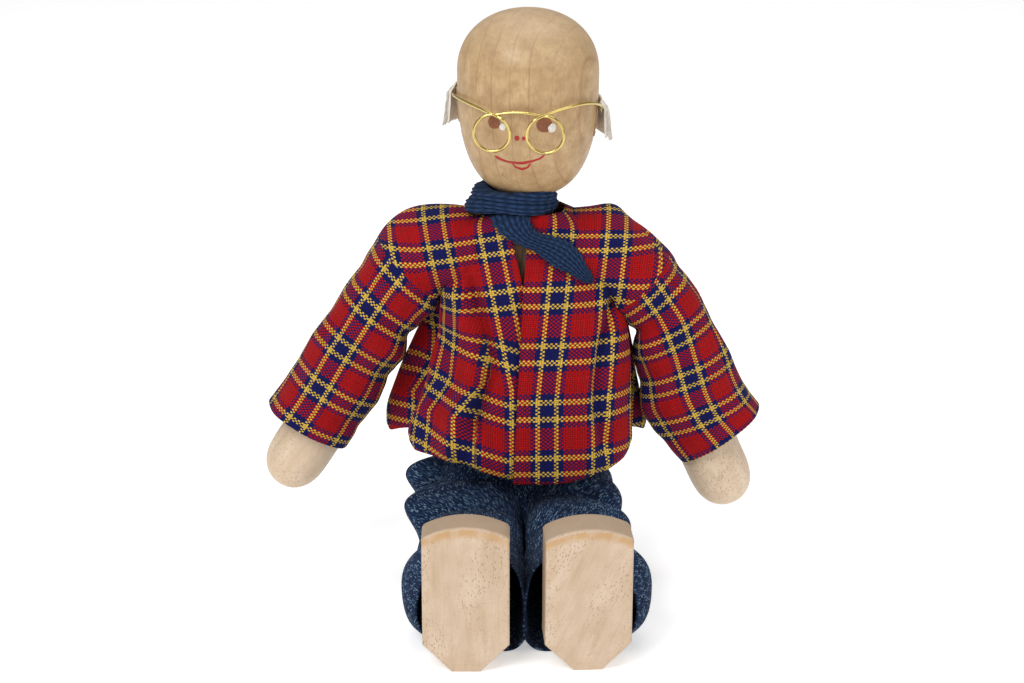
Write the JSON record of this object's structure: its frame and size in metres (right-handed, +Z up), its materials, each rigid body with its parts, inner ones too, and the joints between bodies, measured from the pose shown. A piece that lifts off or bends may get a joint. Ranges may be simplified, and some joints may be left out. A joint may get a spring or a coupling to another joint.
{
  "type": "bendy doll",
  "caption": "Seated bendable doll with a turned wooden head, wooden hands and feet, wire limbs, tartan shirt, blue trousers, scarf and spectacles.",
  "frame": {"origin": "middle of the flat underside of the trousers, on the floor the doll sits on", "axes": "+Z up through the head, -Y the way the doll faces and its legs point, +X its own left arm"},
  "size_m": [0.0891, 0.0638, 0.1033],
  "materials": {
    "torso_block": "smooth turned maple",
    "neck_anchor_wire": "dull soft wire",
    "shoulder_cross_wire": "dull soft wire",
    "trousers_seat": "flecked blue knit",
    "shirt_body": "woven tartan",
    "scarf_wrap": "navy knit",
    "scarf_end": "navy knit",
    "neck_wire": "dull soft wire",
    "wooden_head": "smooth turned maple",
    "hair_fringe": "white plush pile",
    "spectacles": "polished gilt wire",
    "shoulder_wire_right": "dull soft wire",
    "upper_arm_wire_right": "dull soft wire",
    "upper_arm_winding_right": "wound thread",
    "sleeve_upper_right": "woven tartan",
    "forearm_wire_right": "dull soft wire",
    "forearm_winding_right": "wound thread",
    "sleeve_lower_right": "woven tartan",
    "wooden_hand_right": "smooth turned maple",
    "hip_wire_right": "dull soft wire",
    "thigh_wire_right": "dull soft wire",
    "thigh_winding_right": "wound thread",
    "trouser_thigh_right": "flecked blue knit",
    "shin_wire_right": "dull soft wire",
    "shin_winding_right": "wound thread",
    "trouser_shin_right": "flecked blue knit",
    "ankle_wire_right": "dull soft wire",
    "wooden_foot_right": "smooth turned maple",
    "shoulder_wire_left": "dull soft wire",
    "upper_arm_wire_left": "dull soft wire",
    "upper_arm_winding_left": "wound thread",
    "sleeve_upper_left": "woven tartan",
    "forearm_wire_left": "dull soft wire",
    "forearm_winding_left": "wound thread",
    "sleeve_lower_left": "woven tartan",
    "wooden_hand_left": "smooth turned maple",
    "hip_wire_left": "dull soft wire",
    "thigh_wire_left": "dull soft wire",
    "thigh_winding_left": "wound thread",
    "trouser_thigh_left": "flecked blue knit",
    "shin_wire_left": "dull soft wire",
    "shin_winding_left": "wound thread",
    "trouser_shin_left": "flecked blue knit",
    "ankle_wire_left": "dull soft wire",
    "wooden_foot_left": "smooth turned maple"
  },
  "bodies": {
    "torso": {"torso_block": "torso_block", "neck_anchor_wire": "neck_anchor_wire", "shoulder_cross_wire": "shoulder_cross_wire", "trousers_seat": "trousers_seat", "shirt_body": "shirt_body", "scarf_wrap": "scarf_wrap", "scarf_end": "scarf_end"},
    "neck": {"neck_wire": "neck_wire"},
    "head": {"wooden_head": "wooden_head", "hair_fringe": "hair_fringe", "spectacles": "spectacles"},
    "shoulder_right": {"shoulder_wire_right": "shoulder_wire_right"},
    "upper_arm_right": {"upper_arm_wire_right": "upper_arm_wire_right", "upper_arm_winding_right": "upper_arm_winding_right", "sleeve_upper_right": "sleeve_upper_right"},
    "forearm_right": {"forearm_wire_right": "forearm_wire_right", "forearm_winding_right": "forearm_winding_right", "sleeve_lower_right": "sleeve_lower_right", "wooden_hand_right": "wooden_hand_right"},
    "hip_right": {"hip_wire_right": "hip_wire_right"},
    "thigh_right": {"thigh_wire_right": "thigh_wire_right", "thigh_winding_right": "thigh_winding_right", "trouser_thigh_right": "trouser_thigh_right"},
    "shin_right": {"shin_wire_right": "shin_wire_right", "shin_winding_right": "shin_winding_right", "trouser_shin_right": "trouser_shin_right"},
    "foot_right": {"ankle_wire_right": "ankle_wire_right", "wooden_foot_right": "wooden_foot_right"},
    "shoulder_left": {"shoulder_wire_left": "shoulder_wire_left"},
    "upper_arm_left": {"upper_arm_wire_left": "upper_arm_wire_left", "upper_arm_winding_left": "upper_arm_winding_left", "sleeve_upper_left": "sleeve_upper_left"},
    "forearm_left": {"forearm_wire_left": "forearm_wire_left", "forearm_winding_left": "forearm_winding_left", "sleeve_lower_left": "sleeve_lower_left", "wooden_hand_left": "wooden_hand_left"},
    "hip_left": {"hip_wire_left": "hip_wire_left"},
    "thigh_left": {"thigh_wire_left": "thigh_wire_left", "thigh_winding_left": "thigh_winding_left", "trouser_thigh_left": "trouser_thigh_left"},
    "shin_left": {"shin_wire_left": "shin_wire_left", "shin_winding_left": "shin_winding_left", "trouser_shin_left": "trouser_shin_left"},
    "foot_left": {"ankle_wire_left": "ankle_wire_left", "wooden_foot_left": "wooden_foot_left"}
  },
  "joints": [
    {"name": "neck_nod", "type": "hinge", "parent": "torso", "child": "neck", "pos_m": [0.0006, 0, 0.0675], "axis": [1, 0, 0], "range_deg": [-30, 30], "deforming": ["shirt_body", "scarf_wrap", "scarf_end"]},
    {"name": "head_turn", "type": "hinge", "parent": "neck", "child": "head", "pos_m": [0.0006, 0, 0.0675], "axis": [0, 0, 1], "range_deg": [-90, 90], "deforming": ["scarf_wrap", "scarf_end"]},
    {"name": "shoulder_swing_right", "type": "hinge", "parent": "torso", "child": "shoulder_right", "pos_m": [-0.014, 0, 0.0615], "axis": [-1, 0, 0], "range_deg": [-60, 170], "deforming": ["shirt_body", "trousers_seat", "sleeve_upper_right"]},
    {"name": "shoulder_spread_right", "type": "hinge", "parent": "shoulder_right", "child": "upper_arm_right", "pos_m": [-0.014, 0, 0.0615], "axis": [0, 1, 0], "range_deg": [-26, 120], "deforming": ["shirt_body", "trousers_seat", "sleeve_upper_right", "sleeve_lower_right"]},
    {"name": "elbow_right", "type": "hinge", "parent": "upper_arm_right", "child": "forearm_right", "pos_m": [-0.02561, 0, 0.04522], "axis": [-0.8387, 0, 0.5446], "range_deg": [-30, 120], "deforming": ["sleeve_upper_right", "sleeve_lower_right"]},
    {"name": "hip_turn_right", "type": "hinge", "parent": "torso", "child": "hip_right", "pos_m": [-0.0075, -0.0025, 0.0105], "axis": [0, 0, 1], "range_deg": [-60, 2], "deforming": ["shirt_body", "trousers_seat", "trouser_thigh_right"]},
    {"name": "hip_flex_right", "type": "hinge", "parent": "hip_right", "child": "thigh_right", "pos_m": [-0.0075, -0.0025, 0.0105], "axis": [1, 0, 0], "range_deg": [-45, 110], "deforming": ["shirt_body", "trousers_seat", "trouser_thigh_right", "trouser_shin_right"]},
    {"name": "knee_right", "type": "hinge", "parent": "thigh_right", "child": "shin_right", "pos_m": [-0.00873, -0.02046, 0.0105], "axis": [1, 0, 0], "range_deg": [-20, 110], "deforming": ["trouser_thigh_right", "trouser_shin_right"]},
    {"name": "ankle_right", "type": "hinge", "parent": "shin_right", "child": "foot_right", "pos_m": [-0.0099, -0.03742, 0.0105], "axis": [1, 0, 0], "range_deg": [-40, 50], "deforming": ["trouser_shin_right"]},
    {"name": "shoulder_swing_left", "type": "hinge", "parent": "torso", "child": "shoulder_left", "pos_m": [0.014, 0, 0.0615], "axis": [-1, 0, 0], "range_deg": [-60, 170], "deforming": ["shirt_body", "trousers_seat", "sleeve_upper_left"]},
    {"name": "shoulder_spread_left", "type": "hinge", "parent": "shoulder_left", "child": "upper_arm_left", "pos_m": [0.014, 0, 0.0615], "axis": [0, -1, 0], "range_deg": [-20, 120], "deforming": ["shirt_body", "trousers_seat", "sleeve_upper_left", "sleeve_lower_left"]},
    {"name": "elbow_left", "type": "hinge", "parent": "upper_arm_left", "child": "forearm_left", "pos_m": [0.02385, 0, 0.04409], "axis": [-0.9107, 0, -0.4131], "range_deg": [-30, 120], "deforming": ["sleeve_upper_left", "sleeve_lower_left"]},
    {"name": "hip_turn_left", "type": "hinge", "parent": "torso", "child": "hip_left", "pos_m": [0.0075, -0.0025, 0.0105], "axis": [0, 0, -1], "range_deg": [-60, 2], "deforming": ["shirt_body", "trousers_seat", "trouser_thigh_left"]},
    {"name": "hip_flex_left", "type": "hinge", "parent": "hip_left", "child": "thigh_left", "pos_m": [0.0075, -0.0025, 0.0105], "axis": [1, 0, 0], "range_deg": [-45, 110], "deforming": ["shirt_body", "trousers_seat", "trouser_thigh_left", "trouser_shin_left"]},
    {"name": "knee_left", "type": "hinge", "parent": "thigh_left", "child": "shin_left", "pos_m": [0.00873, -0.02046, 0.01083], "axis": [1, 0, 0], "range_deg": [-20, 110], "deforming": ["trouser_thigh_left", "trouser_shin_left"]},
    {"name": "ankle_left", "type": "hinge", "parent": "shin_left", "child": "foot_left", "pos_m": [0.0099, -0.03741, 0.01114], "axis": [1, 0, 0], "range_deg": [-40, 50], "deforming": ["trouser_shin_left"]}
  ]
}
